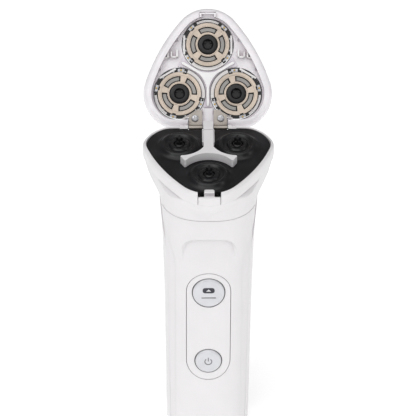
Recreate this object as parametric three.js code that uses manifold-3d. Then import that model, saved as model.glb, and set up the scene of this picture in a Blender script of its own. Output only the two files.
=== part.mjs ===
// Electric shaver: three-head rotary, flip-open head, standing on its base. Millimetres, +Z up, front is -Y.
// Everything of the head is drawn in the head frame: x to the right, y to the back, z along the head's normal,
// with its origin on the lid hinge. The lid is drawn shut in that frame, then swung open.
import * as THREE from "three";
import { mergeVertices } from "three/addons/utils/BufferGeometryUtils.js";
import Module from "manifold-3d";

const wasm = await Module();
wasm.setup();

// Fit
const GAP = 0.3;
const WALL = 2;

// Heads
const PITCH = 27; // distance between two shaving heads
const HEAD_RING = PITCH / Math.sqrt(3); // from the middle of the three to each
const MIDDLE = -24.2; // y of the middle of the three
const RIM_R = 17.2; // outer radius of the rim around each head
const RIM_INNER_R = 15.6;
const RIM_TOP = 3.5; // where the tray's rim ends and the shut lid begins
const DECK_R = 15.3;
const DECK_TOP = 1;
const SIDE_BULGE = 1.35; // how far the two long sides of the outline bow out
const HEADS = [
  { name: "left", angle: 150 },
  { name: "right", angle: 30 },
  { name: "front", angle: -90 },
];

// Hinge and lid
const HINGE_Y = 28;
const HINGE_Z = 142.4;
const HEAD_TILT = 10.5; // degrees the head leans forward
const LID_OPEN = 128; // degrees from shut to where the lid stands
const BARREL_R = 1.25;
const PIN_R = 0.6;
const SCREW_X = 6.1;
const SCREW_Y = -4.5;
const LID_TOP = 13.8;

// Body
const NECK_W = -14.3; // where the head base meets the handle, along the head's normal
const FACE_Y = -20; // front face of the handle
const PANEL_TOP = 90.4;
const PANEL_BOTTOM = 32.1;
const PANEL_WIDTH = 21;
const MODE_Z = 79.9;
const MODE_R = 7.4;
const POWER_Z = 42.7;
const POWER_R = 6.15;

// Drive
const SUN_TEETH = 10;
const GEAR_TEETH = 20;
const MODULE = (2 * HEAD_RING) / (SUN_TEETH + GEAR_TEETH);

const AROUND = 36; // points around the big rings
const rad = THREE.MathUtils.degToRad;

const PAINT = {
  white: { color: 0xe9e8ea, roughness: 0.28, metalness: 0 },
  black: { color: 0x0b0b0d, roughness: 0.25, metalness: 0 },
  silver: { color: 0xcfcfd2, roughness: 0.35, metalness: 0.3 },
  steel: { color: 0xb9b9bd, roughness: 0.3, metalness: 1 },
  beige: { color: 0xc9b9a4, roughness: 0.35, metalness: 0.8 },
  brass: { color: 0xb5914a, roughness: 0.35, metalness: 1 },
  grey: { color: 0x6f7277, roughness: 0.6, metalness: 0 },
  green: { color: 0x1d5b38, roughness: 0.5, metalness: 0 },
  blue: { color: 0x2f5d9c, roughness: 0.5, metalness: 0 },
  nylon: { color: 0xdedbd2, roughness: 0.5, metalness: 0 },
};

// ---- shape helpers ----

function solid(geometry) {
  const g = geometry.clone();
  g.deleteAttribute("normal");
  g.deleteAttribute("uv");
  const merged = mergeVertices(g, 1e-4);
  const triVerts = new Uint32Array(merged.index.array);
  const vertProperties = merged.attributes.position.array;
  const made = new wasm.Manifold(new wasm.Mesh({ numProp: 3, vertProperties, triVerts }));
  if (made.volume() > 0) return made;
  for (let i = 0; i < triVerts.length; i += 3) {
    [triVerts[i + 1], triVerts[i + 2]] = [triVerts[i + 2], triVerts[i + 1]];
  }
  return new wasm.Manifold(new wasm.Mesh({ numProp: 3, vertProperties, triVerts }));
}

const join = (first, ...rest) => rest.reduce((a, g) => a.add(solid(g)), solid(first));
const cut = (body, ...tools) => tools.reduce((a, g) => a.subtract(solid(g)), body);

function geometryOf(made) {
  const { vertProperties, triVerts } = made.getMesh();
  const g = new THREE.BufferGeometry();
  g.setAttribute("position", new THREE.BufferAttribute(new Float32Array(vertProperties), 3));
  g.setIndex(new THREE.BufferAttribute(new Uint32Array(triVerts), 1));
  return g;
}

function part(name, shape, paint) {
  const made = shape.isBufferGeometry ? solid(shape) : shape;
  const g = geometryOf(made).toNonIndexed();
  g.computeVertexNormals();
  const mesh = new THREE.Mesh(g, new THREE.MeshStandardMaterial(PAINT[paint]));
  mesh.name = name;
  return mesh;
}

// A skin through rings of equal length, closed by a fan at each end.
function loft(rings) {
  const n = rings[0].length;
  const points = rings.flat();
  const index = [];
  for (let r = 0; r + 1 < rings.length; r++) {
    for (let i = 0; i < n; i++) {
      const a = r * n + i;
      const b = r * n + ((i + 1) % n);
      index.push(a, b, b + n, a, b + n, a + n);
    }
  }
  for (const [ring, start, flip] of [[rings[0], 0, true], [rings.at(-1), points.length - n, false]]) {
    const middle = ring.reduce((s, p) => s.add(p), new THREE.Vector3()).divideScalar(n);
    const hub = points.push(middle) - 1;
    for (let i = 0; i < n; i++) {
      const a = start + i;
      const b = start + ((i + 1) % n);
      index.push(hub, flip ? b : a, flip ? a : b);
    }
  }
  const g = new THREE.BufferGeometry().setFromPoints(points);
  g.setIndex(index);
  return g;
}

function prism(shape, low, high, curveSegments = 8) {
  const g = new THREE.ExtrudeGeometry(shape, { depth: high - low, bevelEnabled: false, curveSegments });
  return g.translate(0, 0, low);
}

function box(x0, x1, y0, y1, z0, z1) {
  const g = new THREE.BoxGeometry(x1 - x0, y1 - y0, z1 - z0);
  return g.translate((x0 + x1) / 2, (y0 + y1) / 2, (z0 + z1) / 2);
}

function rod(radius, low, high, x = 0, y = 0, sides = 20) {
  const g = new THREE.CylinderGeometry(radius, radius, high - low, sides);
  return g.rotateX(Math.PI / 2).translate(x, y, (low + high) / 2);
}

// A turned part along z from [radius, height] pairs; a profile off the axis is closed on itself.
function turned(pairs, sides = 24) {
  const points = pairs.map(([r, z]) => new THREE.Vector2(r, z));
  if (pairs[0][0] > 0 && !points[0].equals(points.at(-1))) points.push(points[0].clone());
  return new THREE.LatheGeometry(points, sides).rotateX(Math.PI / 2);
}

// ---- outlines ----

// The three-lobed outline grown around the heads: three corner arcs and long, slightly bowed sides.
function lobePoint(angle, radius, z) {
  const half = PITCH / 2;
  const reach = (SIDE_BULGE ** 2 + half ** 2) / (2 * SIDE_BULGE);
  const lean = THREE.MathUtils.radToDeg(Math.asin(half / reach));
  const corner = Math.round((angle + 90) / 120) * 120 - 90;
  const off = angle - corner;
  const onSide = Math.abs(off) > 60 - lean;
  const side = rad(corner + 60 * Math.sign(off));
  const back = HEAD_RING / 2 - Math.sqrt(reach ** 2 - half ** 2);
  const cx = onSide ? back * Math.cos(side) : HEAD_RING * Math.cos(rad(corner));
  const cy = onSide ? back * Math.sin(side) : HEAD_RING * Math.sin(rad(corner));
  const r = onSide ? radius + reach : radius;
  const x = cx + r * Math.cos(rad(angle));
  const y = MIDDLE + cy + r * Math.sin(rad(angle));
  return new THREE.Vector3(x, Math.min(y, radius - RIM_R), z);
}

const lobeRing = (radius, z, count = AROUND) =>
  Array.from({ length: count }, (_, i) => lobePoint((360 * i) / count, radius, z));

const lobeBlock = (radius, low, high) => loft([lobeRing(radius, low), lobeRing(radius, high)]);

// A soft rectangle, half width a, from y = front to y = back.
function softPoint(angle, a, front, back) {
  const power = 2 / 2.5;
  const c = Math.cos(rad(angle));
  const s = Math.sin(rad(angle));
  const half = (back - front) / 2;
  const x = a * Math.sign(c) * Math.abs(c) ** power;
  return new THREE.Vector3(x, (front + back) / 2 + half * Math.sign(s) * Math.abs(s) ** power, 0);
}

function softRing(a, front, back, place) {
  return Array.from({ length: AROUND }, (_, i) => place(softPoint((360 * i) / AROUND, a, front, back)));
}

// ---- head base: the white three-lobed tray and its neck ----

const NECK = { half: 22.6, front: -53, back: -7.2 };

// The tray's outer ring at a height, running from the lobes (share 0) to the neck (share 1).
function trayRing(w, share, inset = 0) {
  return Array.from({ length: AROUND }, (_, i) => {
    const angle = (360 * i) / AROUND;
    const top = lobePoint(angle, RIM_R - inset, w);
    const low = softPoint(angle, NECK.half - inset, NECK.front + inset, NECK.back - inset);
    low.z = w;
    return top.lerp(low, share);
  });
}

// At the back the rim steps down to the deck; y and height of that step.
const STEP = [[-20, RIM_TOP], [-9, 1.2], [4, 1.2]];

function acrossHead(outline) {
  return prism(new THREE.Shape(outline.map(([y, z]) => new THREE.Vector2(y, z))), -40, 40)
    .rotateX(Math.PI / 2).rotateZ(Math.PI / 2);
}

// Height, share and inset of the outside, from the neck up over the bowl to the rolled rim.
const TRAY = [
  [-14.3, 1, 0], [-12.6, 0.93, 0], [-11, 0.76, 0], [-9.6, 0.5, 0], [-8, 0.26, 0.2], [-6.2, 0.09, 0.6],
  [-4.2, 0, 0.8], [-2.9, 0, 0.7], [-2.5, 0, 0.1], [-1.5, 0, 0], [1.2, 0, 0], [2.8, 0, 0.3], [RIM_TOP, 0, 0.9],
];

function headBase() {
  const outer = loft(TRAY.map(([w, share, inset]) => trayRing(w, share, inset)));
  const inner = loft([
    trayRing(-18, 1, 4.2),
    trayRing(-13, 0.96, 4.2),
    trayRing(-11.2, 0.78, WALL),
    trayRing(-8.2, 0.28, WALL),
    trayRing(-4.5, 0, RIM_R - RIM_INNER_R),
    trayRing(5, 0, RIM_R - RIM_INNER_R),
  ]);
  const spigot = loft([trayRing(-17, 1, 2.7), trayRing(-13.5, 1, 2.7)]);
  const lugs = [hingeLug(-2.2, 2.2), hingeLug(9.5, 11), hingeLug(-11, -9.5)];
  return cut(
    cut(join(outer, spigot), inner).add(join(...lugs)),
    ...[-1, 1].map((s) => box(s > 0 ? 2.3 : -9.4, s > 0 ? 9.4 : -2.3, -2.2, 2, -1.7, 5)),
    box(-2.4, 2.4, -1.7, 2, 1.3, 5),
    acrossHead([...STEP, [4, 8], [-20, 8]]),
    box(-5.3, 5.3, -60, -52, -3, 5),
    rod(PIN_R + 0.12, -11.4, 11.4).rotateY(Math.PI / 2),
  );
}

const alongX = (g, x) => g.rotateY(Math.PI / 2).translate(x, 0, 0);

function hingeLug(from, to) {
  const barrel = alongX(rod(1.3, from, to, 0, 0, 16), 0);
  return geometryOf(join(barrel, box(from, to, -1.6, 0.6, -2, -0.1)));
}

// ---- black deck with its domes, and the white divider on it ----

const DOME = [
  [11.7, -1.4], [11.7, DECK_TOP], [10.4, 1.2], [9.5, 1.7], [8.8, 2.5], [8.2, 3.2], [7.2, 3.2], [6.6, 2.4],
  [4.8, 2.2], [4.2, 2.8], [2.7, 2.8], [2.7, 1.3], [5.6, 0.9], [6.6, -0.4], [10.4, -1.4],
];

function headCentre(head) {
  const a = rad(head.angle);
  return [HEAD_RING * Math.cos(a), MIDDLE + HEAD_RING * Math.sin(a)];
}

function atHeads(make) {
  return HEADS.map((head) => make().translate(...headCentre(head), 0));
}

function chamberDeck() {
  const plate = cut(solid(lobeBlock(DECK_R, -1.4, DECK_TOP)), ...atHeads(() => rod(11.4, -3, 2, 0, 0, 24)));
  const domed = plate.add(join(...atHeads(() => turned(DOME, 24))));
  return cut(domed, box(-9.4, 9.4, -2.9, 1, -2, 2), box(-5, 5, -56, -51.6, -4, 2));
}

// Three arms between the heads, cut hollow by a circle around each head. The arm opposite "front" runs to the hinge.
function armsBetween(width, rear, side, low, high, circle) {
  const arms = HEADS.map((head) => {
    const g = box(-width / 2, width / 2, 0, head.name === "front" ? rear : side, low, high);
    return g.rotateZ(rad(head.angle + 90)).translate(0, MIDDLE, 0);
  });
  return cut(join(...arms), ...atHeads(() => rod(circle, low - 1, high + 1, 0, 0, 28)));
}

function centreDivider() {
  const star = armsBetween(12, 13, 14, DECK_TOP + GAP, 5.3, 12.6);
  const post = box(-2.3, 2.3, -16, -2, 1.6, 5.3);
  const skirts = box(-2.9, 2.9, -16, -6, DECK_TOP + GAP, 3.2);
  return star.add(join(post, skirts));
}

// ---- release button in the front of the rim ----

function releaseButton() {
  const front = solid(loft([trayRing(-2.7, 0), trayRing(0.9, 0), trayRing(1.3, 0, 0.5)]));
  const face = front.intersect(solid(box(-5, 5, -60, -55.2, -3, 2)));
  const stem = box(-2.35, 2.35, -55.6, -53, -2.4, -1);
  const tab = box(-2.35, 2.35, -53.6, -52.6, -2.4, RIM_TOP);
  const hook = box(-2.35, 2.35, -54.4, -53.3, RIM_TOP - 0.7, RIM_TOP);
  return face.add(join(stem, tab, hook));
}

// ---- drive ----

// A gear blank with straight-sided teeth, thin enough to run with play.
function gearShape(teeth, turn = 0) {
  const pitchR = (MODULE * teeth) / 2;
  const corners = [[-0.24, 0.9], [-0.18, -0.7], [0.18, -0.7], [0.24, 0.9]];
  const points = [];
  for (let t = 0; t < teeth; t++) {
    for (const [share, drop] of corners) {
      const r = pitchR - drop * MODULE * (drop > 0 ? 1.1 : 1);
      const thick = drop > 0 ? share * 1.12 : share * 0.72;
      const a = ((t + thick) / teeth) * 2 * Math.PI + rad(turn);
      points.push(new THREE.Vector2(r * Math.cos(a), r * Math.sin(a)));
    }
  }
  return new THREE.Shape(points);
}

// The sun turns a tooth toward each head; the gear there turns a gap toward the sun.
function gearTurn(head) {
  const tooth = 360 / SUN_TEETH;
  const phase = (((head.angle % tooth) + tooth) % tooth) / tooth;
  return head.angle + 180 + ((0.5 + phase) * 360) / GEAR_TEETH;
}

function driveGear(head) {
  const wheel = prism(gearShape(GEAR_TEETH, gearTurn(head)), -7.5, -4.5);
  const hub = rod(4.2, -8.7, -1.4, 0, 0, 16);
  return cut(join(wheel, hub), box(-1.95, 1.95, -1.95, 1.95, -6.3, 0), rod(1.4, -10, -6, 0, 0, 8));
}

function driveSpindle() {
  const stem = box(-1.65, 1.65, -1.65, 1.65, -3.6, 0.4);
  const neck = rod(1.6, 0, 4.6, 0, 0, 12);
  return join(stem, neck, box(-1.5, 1.5, -0.5, 0.5, 4.4, 6.5), box(-0.5, 0.5, -1.5, 1.5, 4.4, 6.5));
}

class Coil extends THREE.Curve {
  constructor(radius, low, high, turns) {
    super();
    Object.assign(this, { radius, low, high, turns });
  }
  getPoint(t, target = new THREE.Vector3()) {
    const a = 2 * Math.PI * this.turns * t;
    const z = this.low + (this.high - this.low) * t;
    return target.set(this.radius * Math.cos(a), this.radius * Math.sin(a), z);
  }
}

function spindleSpring() {
  const turns = 2;
  const half = 0.18;
  const section = new THREE.Shape([[-1, -1], [1, -1], [1, 1], [-1, 1]].map(([x, y]) =>
    new THREE.Vector2(x * half, y * half)));
  return new THREE.ExtrudeGeometry(section, { steps: 9 * turns, extrudePath: new Coil(1.3, -5.85, -3.95, turns) });
}

function motorPinion() {
  return join(prism(gearShape(SUN_TEETH), -7.3, -4.7), rod(1, -14, -7), rod(1, -5, -4));
}

function motor() {
  const can = turned([[0, -31], [7.4, -31], [8.3, -30], [8.3, -13.4], [7.6, -12.8], [0, -12.8]], 20);
  const boss = rod(3, -13, -12.2);
  return cut(join(can, boss, rod(3, -32, -30.5)), rod(1.4, -15, -12, 0, 0, 12));
}

function gearboxPlate() {
  const plate = solid(lobeBlock(6.4, -10.6, -9));
  const posts = join(...atHeads(() => rod(1.1, -10, -6.6, 0, 0, 12)));
  return cut(plate.add(posts), rod(1.6, -12, -8, 0, MIDDLE, 16));
}

// ---- lid, drawn shut ----

function lidShell() {
  const outer = loft([
    lobeRing(RIM_R - 0.9, RIM_TOP + GAP), lobeRing(RIM_R - 0.3, 4.8), lobeRing(RIM_R, 6.4), lobeRing(RIM_R, 8.4),
    lobeRing(RIM_R - 0.7, 11), lobeRing(RIM_R - 1.8, 13), lobeRing(RIM_R - 3.2, LID_TOP),
  ]);
  const inner = loft([
    lobeRing(RIM_INNER_R - 0.1, 1), lobeRing(RIM_INNER_R - 0.1, 6.5), lobeRing(RIM_INNER_R - 0.7, 9.6),
    lobeRing(RIM_INNER_R - 1.4, LID_TOP - 1.8),
  ]);
  const below = STEP.map(([y, z]) => [y, z + GAP]);
  const under = acrossHead([[-60, RIM_TOP + GAP], ...below, [4, 0], [-60, 0]]);
  const skirt = cut(solid(lobeBlock(RIM_R - 0.9, 1.3, 4.4)), inner, under);
  const blocks = [-1, 1].map((s) => box(s > 0 ? 2 : -9, s > 0 ? 9 : -2, -6.5, -0.6, 4.9, 12.4));
  const rib = box(-2.3, 2.3, -9.5, -0.6, 5.7, 12.4);
  const hinge = [-1, 1].map((s) => box(s > 0 ? 2.4 : -9.5, s > 0 ? 9.5 : -2.4, -2.5, 1, 1, 4.9));
  const hollow = cut(solid(outer), inner).add(skirt).add(join(...blocks, rib));
  const post = box(-2.6, 2.6, -6.7, -1.7, 4, 5.7);
  const holes = atHeads(() => turned([[0, 3], [12.5, 3], [12.5, 8.8], [12, 8.8], [12, 16], [0, 16]], 24));
  return cut(hollow, post, ...holes, ...hinge, ...[-1, 1].map((s) => rod(0.75, 3, 9, SCREW_X * s, SCREW_Y, 12)));
}

function retainingFrame() {
  const ribs = HEADS.map((head) => {
    const length = head.name === "front" ? 14.2 : 15;
    return box(-0.6, 0.6, 0, length, 5.6, 8.4).rotateZ(rad(head.angle + 90)).translate(0, MIDDLE, 0);
  });
  return armsBetween(9, 14.2, 15, 6.6, 8.4, 13).add(join(...ribs));
}

function lidLatch() {
  const walls = [-1, 1].map((s) => box(3.4 * s - 0.4, 3.4 * s + 0.4, -54.6, -52.6, 1.9, 7));
  return join(box(-3.8, 3.8, -54.6, -54, 1.9, 2.5), ...walls);
}

// The hinge leaf: a plate screwed in the lid, a web down to the hinge axis and a barrel around it.
function hingeLeaf(s) {
  const outline = [[2.7, -8.6], [5.4, -8.6], [9.1, -6.2], [9.1, 0.35], [2.7, 0.35]];
  const plate = prism(new THREE.Shape(outline.map(([x, y]) => new THREE.Vector2(x * s, y))), 3.9, 4.6);
  const barrel = alongX(rod(BARREL_R, -3.2, 3.2, 0, 0, 16), 5.9 * s);
  const web = box(5.9 * s - 3.2, 5.9 * s + 3.2, -0.35, 0.35, 0.9, 4.6);
  return cut(join(barrel, plate, web), alongX(rod(PIN_R + 0.12, -4, 4), 5.9 * s),
    rod(0.8, 3, 6, SCREW_X * s, SCREW_Y, 12));
}

function leafScrew(s) {
  const head = turned([[0, -0.3], [1.5, -0.3], [1.7, 0.05], [1.7, 0.15], [0, 0.15]], 16);
  const shank = rod(0.6, 0, 4, 0, 0, 10);
  const slots = [box(-1, 1, -0.2, 0.2, -1, -0.05), box(-0.2, 0.2, -1, 1, -1, -0.05)];
  const lowered = cut(join(head, shank), ...slots);
  return geometryOf(lowered).translate(SCREW_X * s, SCREW_Y, 3.7);
}

function hingePin(s) {
  return alongX(rod(PIN_R, -5, 5, 0, 0, 12), 5.8 * s);
}

// ---- shaving head, drawn around the head's own axis ----

function guardCap() {
  const cap = turned([
    [11.5, 8.5], [11.5, 14.4], [10.6, 15.5], [6, 15.5], [5.4, 15], [0, 15], [0, 14.7], [10, 14.7],
    [10.7, 14], [10.7, 8.5], [11.5, 8.5],
  ], 24);
  const slots = Array.from({ length: 12 }, (_, i) => box(6.8, 9.9, -0.4, 0.4, 14, 17).rotateZ(rad(i * 30)));
  return cut(solid(cap), ...slots);
}

function innerCutter() {
  const disc = cut(solid(rod(9.6, 8.4, 9.2, 0, 0, 20)), rod(2.7, 8, 10, 0, 0, 12));
  const blades = Array.from({ length: 9 }, (_, i) => box(6.6, 9.4, -0.3, 0.3, 9, 14.4).rotateZ(rad(40 * i)));
  return disc.add(join(...blades));
}

function cutterHub() {
  const hub = turned([[0, 4.8], [3.7, 4.8], [4.1, 5.2], [4.1, 8.1], [2.4, 8.1], [2.4, 10], [0, 10]], 16);
  const mouth = turned([[0, 4.5], [2.75, 4.5], [1.9, 5.7], [0, 5.7]], 12);
  return cut(solid(hub), mouth, box(-1.95, 1.95, -0.9, 0.9, 4.5, 8.6), box(-0.9, 0.9, -1.95, 1.95, 4.5, 8.6));
}

function arcSlot(inner, outer, from, to, low, high) {
  const shape = new THREE.Shape();
  shape.absarc(0, 0, outer, rad(from), rad(to), false);
  shape.absarc(0, 0, inner, rad(to), rad(from), true);
  return prism(shape, low, high, 4);
}

function cutterRetainer() {
  const plate = turned([[4.5, 5.5], [4.5, 6.2], [10.3, 6.2], [10.3, 5.5]], 20);
  const slots = [0, 90, 180, 270].map((a) => arcSlot(5.6, 8.6, a - 38, a + 38, 5, 7));
  return cut(solid(plate), ...slots);
}

function cutterCage() {
  const ring = turned([[10.7, 6.9], [10.7, 8.2], [12.1, 8.2], [12.1, 6.9]], 24);
  const notches = [45, -45, 120, -120].map((a) => box(11.4, 13, -1.6, 1.6, 6, 9).rotateZ(rad(a)));
  return cut(solid(ring), ...notches);
}

// ---- handle ----

// [height, half width, front, back, lean in degrees]
const HANDLE = [
  [3.2, 19.9, -19.4, 17.4, 0], [30, 20.2, -19.8, 18, 0], [70, 20.7, FACE_Y, 19.2, 0],
  [96, 21.4, -20.2, 21, 0], [108, 21.9, -20.6, 22.4, 4], [NECK_W, 22.9, NECK.front - 0.3, NECK.back + 0.3, null],
];

function headToWorld(p) {
  return p.applyAxisAngle(new THREE.Vector3(1, 0, 0), rad(HEAD_TILT)).add(new THREE.Vector3(0, HINGE_Y, HINGE_Z));
}

function handleRing([height, half, front, back, lean], inset) {
  if (lean === null) {
    return softRing(half - inset, front + inset, back - inset, (p) => headToWorld(p.setZ(height - GAP)));
  }
  return softRing(half - inset, front + inset, back - inset, (p) =>
    new THREE.Vector3(p.x, p.y, height + p.y * Math.tan(rad(lean))));
}

function handleTube() {
  const outer = HANDLE.map((ring) => handleRing(ring, 0));
  const inner = HANDLE.map((ring) => handleRing(ring, WALL));
  const over = (p, by) => new THREE.Vector3(p.x, p.y, p.z + by);
  inner.unshift(inner[0].map((p) => over(p, -3)));
  inner.push(inner.at(-1).map((p) => over(p, 3)));
  return { outer: solid(loft(outer)), inner: solid(loft(inner)) };
}

// The seam between the shells, seen from the side: everything in front of it.
function seamBlock(shift) {
  const s = new THREE.Shape();
  s.moveTo(-40, -5).lineTo(-11 + shift, -5).lineTo(-11 + shift, 84);
  s.bezierCurveTo(-11 + shift, 100, -9 + shift, 112, -1 + shift, 122);
  s.lineTo(1 + shift, 135).lineTo(-40, 135);
  return prism(s, -30, 30).rotateX(Math.PI / 2).rotateZ(Math.PI / 2);
}

function pill(width, low, high, grow) {
  const r = width / 2 + grow;
  const s = new THREE.Shape();
  s.absarc(0, high - width / 2, r, 0, Math.PI, false);
  s.absarc(0, low + width / 2, r, Math.PI, 2 * Math.PI, false);
  return prism(s, 10, 30, 7).rotateX(Math.PI / 2);
}

function disc(radius, z, front, back, sides = 24) {
  return rod(radius, front, back, 0, 0, sides).rotateX(-Math.PI / 2).translate(0, 0, z);
}

// Rounded hollow for the thumb above the panel, fading out downward.
function thumbHollow() {
  const s = new THREE.Shape();
  s.moveTo(-25, 92).lineTo(-20.6, 92).bezierCurveTo(-19.4, 98, -18.6, 103, -18.7, 106.4);
  s.quadraticCurveTo(-18.9, 108, -20.8, 108).lineTo(-25, 108);
  return prism(s, -12.5, 12.5).rotateX(Math.PI / 2).rotateZ(Math.PI / 2);
}

function handleParts() {
  const { outer, inner } = handleTube();
  const tube = outer.subtract(inner);
  const front = cut(
    tube.intersect(solid(seamBlock(-GAP / 2))),
    pill(PANEL_WIDTH, PANEL_BOTTOM, PANEL_TOP, 0),
    thumbHollow(),
  );
  const rear = tube.subtract(solid(seamBlock(GAP / 2)));
  const panel = cut(
    outer.intersect(solid(pill(PANEL_WIDTH, PANEL_BOTTOM, PANEL_TOP, -GAP))).subtract(inner),
    disc(MODE_R + GAP, MODE_Z, -30, -10),
    disc(POWER_R + GAP, POWER_Z, -30, -10),
  );
  return [part("front_shell", front, "white"), part("rear_shell", rear, "white"), part("control_panel", panel, "white")];
}

function pushButton(radius, z) {
  const face = turned([[0, 20.7], [radius - 0.5, 20.6], [radius, 20.1], [radius, 18.9], [1.8, 18.9], [1.8, 17.9],
    [0, 17.9]], 24);
  return face.rotateX(Math.PI / 2).translate(0, 0, z);
}

function tactSwitch(z) {
  return join(box(-3, 3, -16.8, -15.3, z - 3, z + 3), disc(1.5, z, -17, -16.5, 12));
}

function baseCap() {
  const ring = (z, inset) => softRing(19.9 - inset, -19.4 + inset, 17.4 - inset, (p) => p.setZ(z));
  const cap = loft([ring(0, 1.4), ring(0.5, 0.5), ring(1.4, 0), ring(2.9, 0)]);
  const plug = loft([ring(2.5, WALL + GAP), ring(7, WALL + GAP)]);
  const hole = () => turned([[0, -1], [2.4, -1], [2.4, 1.2], [1.3, 1.3], [1.3, 8], [0, 8]], 12);
  return cut(join(cap, plug), box(-4.8, 4.8, 4.1, 11.3, -1, 9), hole().translate(-11, 0, 0),
    hole().translate(11, 0, 0));
}

function baseScrew(x) {
  const s = turned([[0, 0.6], [2, 0.6], [2, 0.95], [1, 1], [1, 10], [0, 10]], 12);
  const slot = [box(-1.2, 1.2, -0.25, 0.25, 0, 0.85), box(-0.25, 0.25, -1.2, 1.2, 0, 0.85)];
  return geometryOf(cut(solid(s), ...slot)).translate(x, 0, 0);
}

function chargingSocket() {
  return cut(solid(box(-4.5, 4.5, 4.4, 11, 0.6, 9)), box(-3.6, 3.6, 5.3, 10.1, 0, 7.5),
    rod(0.62, 5, 10, -1.6, 7.7, 10), rod(0.62, 5, 10, 1.6, 7.7, 10));
}

function handleInsides() {
  const board = box(-7.5, 7.5, -15, -13.8, 34, 88);
  const cell = turned([[0, 24], [7.6, 24], [8, 24.6], [8, 75.4], [7.6, 76], [3, 76], [2.8, 77.4], [0, 77.4]], 20);
  return [
    part("base_cap", baseCap(), "white"),
    part("base_screw_left", baseScrew(-11), "steel"),
    part("base_screw_right", baseScrew(11), "steel"),
    part("charging_socket", chargingSocket(), "black"),
    part("charging_pin_left", rod(0.5, 5, 11, -1.6, 7.7, 10), "brass"),
    part("charging_pin_right", rod(0.5, 5, 11, 1.6, 7.7, 10), "brass"),
    part("mode_button", pushButton(MODE_R, MODE_Z), "silver"),
    part("power_button", pushButton(POWER_R, POWER_Z), "silver"),
    part("mode_switch", tactSwitch(MODE_Z), "grey"),
    part("power_switch", tactSwitch(POWER_Z), "grey"),
    part("circuit_board", board, "green"),
    part("battery", cell.translate(0, 2, 0), "blue"),
  ];
}

// ---- assembly ----

function bodyHead() {
  const group = new THREE.Group();
  group.add(
    part("head_base", headBase(), "white"),
    part("chamber_deck", chamberDeck(), "black"),
    part("centre_divider", centreDivider(), "white"),
    part("release_button", releaseButton(), "white"),
    part("gearbox_plate", gearboxPlate(), "nylon"),
    part("motor", geometryOf(motor()).translate(0, MIDDLE, 0), "steel"),
    part("motor_pinion", geometryOf(motorPinion()).translate(0, MIDDLE, 0), "brass"),
    part("hinge_pin_left", hingePin(-1), "steel"),
    part("hinge_pin_right", hingePin(1), "steel"),
  );
  for (const head of HEADS) {
    const drive = new THREE.Group();
    drive.position.set(...headCentre(head), 0);
    drive.add(
      part("drive_gear_" + head.name, driveGear(head), "nylon"),
      part("drive_spindle_" + head.name, driveSpindle(), "black"),
      part("spindle_spring_" + head.name, spindleSpring(), "steel"),
    );
    group.add(drive);
  }
  return group;
}

function lid() {
  const group = new THREE.Group();
  group.add(
    part("lid_shell", lidShell(), "white"),
    part("retaining_frame", retainingFrame(), "white"),
    part("lid_latch", lidLatch(), "white"),
    part("hinge_leaf_left", hingeLeaf(-1), "steel"),
    part("hinge_leaf_right", hingeLeaf(1), "steel"),
    part("leaf_screw_left", leafScrew(-1), "steel"),
    part("leaf_screw_right", leafScrew(1), "steel"),
  );
  for (const head of HEADS) {
    const unit = new THREE.Group();
    unit.position.set(...headCentre(head), 0);
    unit.add(
      part("guard_cap_" + head.name, guardCap(), "steel"),
      part("inner_cutter_" + head.name, innerCutter(), "steel"),
      part("cutter_hub_" + head.name, cutterHub(), "black"),
      part("cutter_retainer_" + head.name, cutterRetainer(), "beige"),
      part("cutter_cage_" + head.name, cutterCage(), "white"),
    );
    group.add(unit);
  }
  group.rotation.x = -rad(LID_OPEN);
  return group;
}

const head = new THREE.Group();
head.position.set(0, HINGE_Y, HINGE_Z);
head.rotation.x = rad(HEAD_TILT);
head.add(bodyHead(), lid());

const shaver = new THREE.Group();
shaver.name = "electric_shaver";
shaver.add(...handleParts(), ...handleInsides(), head);

export default shaver;
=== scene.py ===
import math

import bmesh
import bpy
from mathutils import Matrix, Vector


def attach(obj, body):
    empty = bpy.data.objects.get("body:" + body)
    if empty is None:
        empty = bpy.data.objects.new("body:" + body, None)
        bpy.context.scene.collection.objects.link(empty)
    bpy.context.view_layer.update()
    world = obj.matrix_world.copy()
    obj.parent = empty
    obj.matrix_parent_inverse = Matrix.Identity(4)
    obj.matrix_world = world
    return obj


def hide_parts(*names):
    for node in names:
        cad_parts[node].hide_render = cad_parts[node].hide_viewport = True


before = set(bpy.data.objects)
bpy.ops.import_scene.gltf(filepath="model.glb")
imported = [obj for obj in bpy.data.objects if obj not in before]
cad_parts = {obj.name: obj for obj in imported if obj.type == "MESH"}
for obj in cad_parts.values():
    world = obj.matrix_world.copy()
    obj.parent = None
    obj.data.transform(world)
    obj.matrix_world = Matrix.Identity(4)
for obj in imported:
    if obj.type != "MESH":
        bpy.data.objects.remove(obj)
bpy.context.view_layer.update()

# ---- places and sizes, in millimetres ----
# The head is drawn in its own frame: the origin on the hinge axis, x to the right, y to the back and
# w along the head's normal. The lid is drawn shut in that frame and then swung open.

HINGE_Y, HINGE_Z = 28, 142.4
HEAD_TILT, LID_OPEN = math.radians(10.5), math.radians(128)
HEAD = Matrix.Translation((0, HINGE_Y, HINGE_Z)) @ Matrix.Rotation(HEAD_TILT, 4, "X")
LID = HEAD @ Matrix.Rotation(-LID_OPEN, 4, "X")
BODY = Matrix.Identity(4)
HALF_PITCH = 13.5
HEAD_RING = 2 * HALF_PITCH / math.sqrt(3)
MIDDLE = -24.2
HEADS = {"left": 150, "right": 30, "front": -90}
RIM_R, RIM_INNER, RIM_TOP, DECK_TOP = 17.2, 15.6, 3.5, 1.0
NECK_HALF, NECK_FRONT, NECK_BACK, NECK_W = 22.6, -53.0, -7.2, -14.6
MODE_Z, MODE_R, POWER_Z, POWER_R = 79.9, 7.4, 42.7, 6.15
SCREW_X, SCREW_Y, LEAF_X = 6.1, -4.5, 5.9
RIM_DROP = 2.35


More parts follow.
